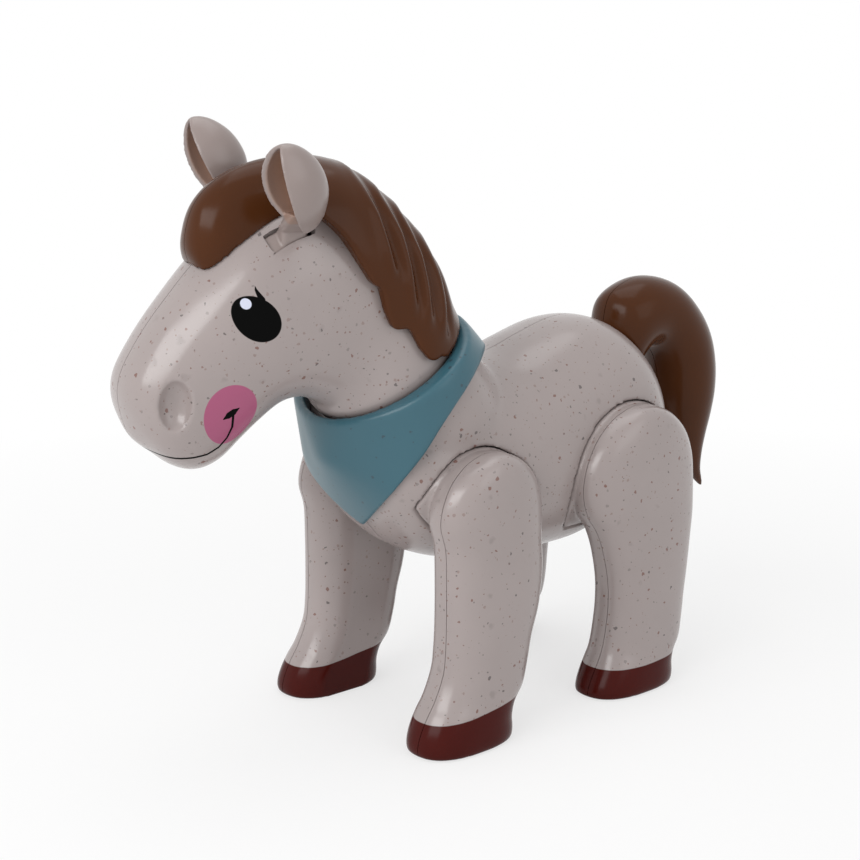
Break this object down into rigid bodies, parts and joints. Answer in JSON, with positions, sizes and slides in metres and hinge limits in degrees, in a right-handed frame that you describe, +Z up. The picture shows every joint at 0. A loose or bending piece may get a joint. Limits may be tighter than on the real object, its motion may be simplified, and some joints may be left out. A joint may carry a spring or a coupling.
{
  "type": "toy horse figure",
  "caption": "Hollow plastic toy farm horse with a head that turns, ears, legs and a tail that swing on click wheels, and a knotted scarf.",
  "frame": {"origin": "the middle of the bounding box at the level of the soles", "axes": "+Z is up, -Y is the way the horse faces, +X is the horse's left side"},
  "size_m": [0.06, 0.1614, 0.1263],
  "materials": {
    "speckled_oat": "glossy beige with fine dark speckles, hooves dark red-brown",
    "mane_brown": "glossy dark brown",
    "scarf_teal": "satin blue-grey teal with sparse dark speckles",
    "ear_pearl": "glossy beige, pinker inside",
    "inner_white": "plain white low-friction moulding"
  },
  "bodies": {
    "torso": {"torso_left": "speckled_oat", "torso_right": "speckled_oat", "scarf": "scarf_teal", "leg_front_left_click_spring": "inner_white", "leg_front_right_click_spring": "inner_white", "leg_rear_left_click_spring": "inner_white", "leg_rear_right_click_spring": "inner_white", "neck_click_spring": "inner_white", "tail_click_spring": "inner_white"},
    "head": {"head_left": "speckled_oat", "head_right": "speckled_oat", "mane_left": "mane_brown", "mane_right": "mane_brown", "neck_click_wheel": "inner_white"},
    "ear_left": {"ear_left": "ear_pearl"},
    "ear_right": {"ear_right": "ear_pearl"},
    "leg_front_left": {"leg_front_left_outer": "speckled_oat", "leg_front_left_inner": "speckled_oat", "leg_front_left_shaft": "inner_white", "leg_front_left_click_wheel": "inner_white"},
    "leg_front_right": {"leg_front_right_outer": "speckled_oat", "leg_front_right_inner": "speckled_oat", "leg_front_right_shaft": "inner_white", "leg_front_right_click_wheel": "inner_white"},
    "leg_rear_left": {"leg_rear_left_outer": "speckled_oat", "leg_rear_left_inner": "speckled_oat", "leg_rear_left_shaft": "inner_white", "leg_rear_left_click_wheel": "inner_white"},
    "leg_rear_right": {"leg_rear_right_outer": "speckled_oat", "leg_rear_right_inner": "speckled_oat", "leg_rear_right_shaft": "inner_white", "leg_rear_right_click_wheel": "inner_white"},
    "tail": {"tail_left": "mane_brown", "tail_right": "mane_brown", "tail_spindle": "inner_white"}
  },
  "joints": [
    {"name": "head_turn", "type": "hinge", "parent": "torso", "child": "head", "pos_m": [0, -0.02556, 0.0772], "axis": [0, -0.5592, 0.829], "range_deg": [-23, 47]},
    {"name": "ear_left_swing", "type": "hinge", "parent": "head", "child": "ear_left", "pos_m": [0.00738, -0.05293, 0.0973], "axis": [0.9781, -0.1724, -0.1163], "range_deg": [-8, 18]},
    {"name": "ear_right_swing", "type": "hinge", "parent": "head", "child": "ear_right", "pos_m": [-0.0114, -0.04963, 0.09953], "axis": [0.9781, -0.1724, -0.1163], "range_deg": [-8, 18]},
    {"name": "leg_front_left_swing", "type": "hinge", "parent": "torso", "child": "leg_front_left", "pos_m": [0.015, -0.01545, 0.0468], "axis": [1, 0, 0], "range_deg": [-50, 20]},
    {"name": "leg_front_right_swing", "type": "hinge", "parent": "torso", "child": "leg_front_right", "pos_m": [-0.015, -0.01545, 0.0468], "axis": [1, 0, 0], "range_deg": [-50, 20]},
    {"name": "leg_rear_left_swing", "type": "hinge", "parent": "torso", "child": "leg_rear_left", "pos_m": [0.015, 0.02954, 0.0468], "axis": [1, 0, 0], "range_deg": [-25, 50]},
    {"name": "leg_rear_right_swing", "type": "hinge", "parent": "torso", "child": "leg_rear_right", "pos_m": [-0.015, 0.02954, 0.0468], "axis": [1, 0, 0], "range_deg": [-25, 50]},
    {"name": "tail_turn", "type": "hinge", "parent": "torso", "child": "tail", "pos_m": [0, 0.04614, 0.0724], "axis": [0, 0.7071, 0.7071], "continuous": true}
  ]
}
